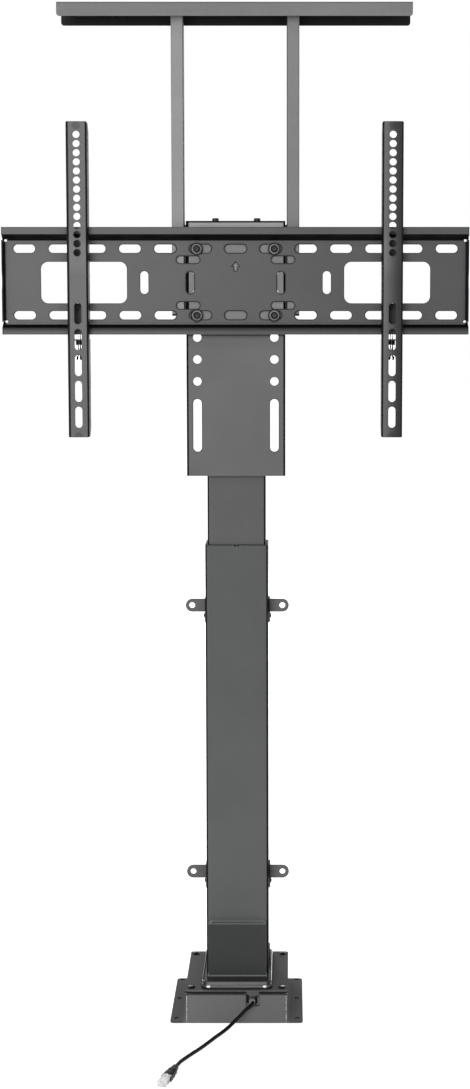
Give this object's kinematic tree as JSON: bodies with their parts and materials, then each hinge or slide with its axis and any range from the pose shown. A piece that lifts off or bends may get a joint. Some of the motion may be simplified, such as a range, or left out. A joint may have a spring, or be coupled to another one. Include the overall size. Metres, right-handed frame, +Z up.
{
  "type": "motorized tv stand",
  "caption": "Motorized telescopic lift column on a flat base, with a slotted wall plate, hook arms and a lid tray on posts.",
  "frame": {"origin": "on the floor under the column's axis, 6.5 mm behind the middle of the base", "axes": "+Z up, -Y the front that carries the screen, +X to the right as seen from the front"},
  "size_m": [0.655, 0.3529, 1.441],
  "materials": {
    "base_paint": "fine powder coat, satin",
    "column_paint": "fine powder coat, satin",
    "head_paint": "fine powder coat, satin",
    "plate_paint": "fine powder coat, satin",
    "arm_paint": "fine powder coat, satin",
    "post_paint": "fine powder coat, satin",
    "black_screw": "black oxide, semi-gloss",
    "gloss_black": "gloss",
    "cover_plastic": "fine grained, matt",
    "black_plastic": "matt",
    "motor_paint": "semi-gloss",
    "zinc_steel": "zinc plated",
    "zinc_screw": "bright zinc",
    "cable_jacket": "smooth, semi-matt",
    "boot_rubber": "matt",
    "gland_plastic": "satin",
    "clear_plastic": "clear",
    "nut_plastic": "satin"
  },
  "bodies": {
    "base": {"base_box": "base_paint", "base_floor": "base_paint", "base_top": "base_paint", "top_screws": "black_screw", "collar": "gloss_black", "drive_cover_front": "cover_plastic", "drive_cover_rear": "cover_plastic", "outer_tube": "column_paint", "rim_glide": "black_plastic", "ear_upper_left": "column_paint", "ear_upper_right": "column_paint", "ear_lower_left": "column_paint", "ear_lower_right": "column_paint", "ear_screws": "black_screw", "motor_plate": "zinc_steel", "drive_motor": "motor_paint", "gearbox": "zinc_steel", "bearing_plate": "zinc_steel", "thrust_bearing": "zinc_steel", "motor_lead": "cable_jacket", "cable_gland": "gland_plastic", "cable": "cable_jacket", "plug_boot": "boot_rubber", "modular_plug": "clear_plastic"},
    "spindle": {"spindle": "zinc_steel"},
    "carriage": {"spindle_nut": "nut_plastic", "nut_carrier": "zinc_steel", "inner_tube": "column_paint", "inner_glides": "black_plastic", "top_cap": "zinc_steel", "head_plate": "head_paint", "head_screws": "black_screw", "wall_plate": "plate_paint", "plate_bolts": "black_screw", "plate_washers": "black_screw", "plate_nuts": "zinc_steel", "post_left": "post_paint", "post_right": "post_paint", "post_plugs": "black_plastic", "post_inserts": "zinc_steel", "post_spacers": "black_plastic", "post_screws": "black_screw", "lid_tray": "post_paint", "tray_screws": "black_screw"},
    "arm_left": {"arm_left": "arm_paint", "lock_bracket_left": "black_screw"},
    "arm_right": {"arm_right": "arm_paint", "lock_bracket_right": "black_screw"},
    "lock_screw_left": {"lock_screw_left": "zinc_screw"},
    "lock_screw_right": {"lock_screw_right": "zinc_screw"}
  },
  "joints": [
    {"name": "lift", "type": "slide", "parent": "base", "child": "carriage", "axis": [0, 0, 1], "range_m": [-0.44, 0]},
    {"name": "spindle_turn", "type": "hinge", "parent": "base", "child": "spindle", "pos_m": [0, 0, 0.14], "axis": [0, 0, 1], "continuous": true},
    {"name": "arm_slide_left", "type": "slide", "parent": "carriage", "child": "arm_left", "axis": [1, 0, 0], "range_m": [-0.081, 0.119]},
    {"name": "arm_slide_right", "type": "slide", "parent": "carriage", "child": "arm_right", "axis": [1, 0, 0], "range_m": [-0.119, 0.081]},
    {"name": "lock_left", "type": "slide", "parent": "arm_left", "child": "lock_screw_left", "axis": [0, 0, 1], "range_m": [-0.006, 0]},
    {"name": "lock_right", "type": "slide", "parent": "arm_right", "child": "lock_screw_right", "axis": [0, 0, 1], "range_m": [-0.006, 0]}
  ],
  "couplings": [
    {"joint": "spindle_turn", "follows": "lift", "rad_per_m": -785.4}
  ]
}
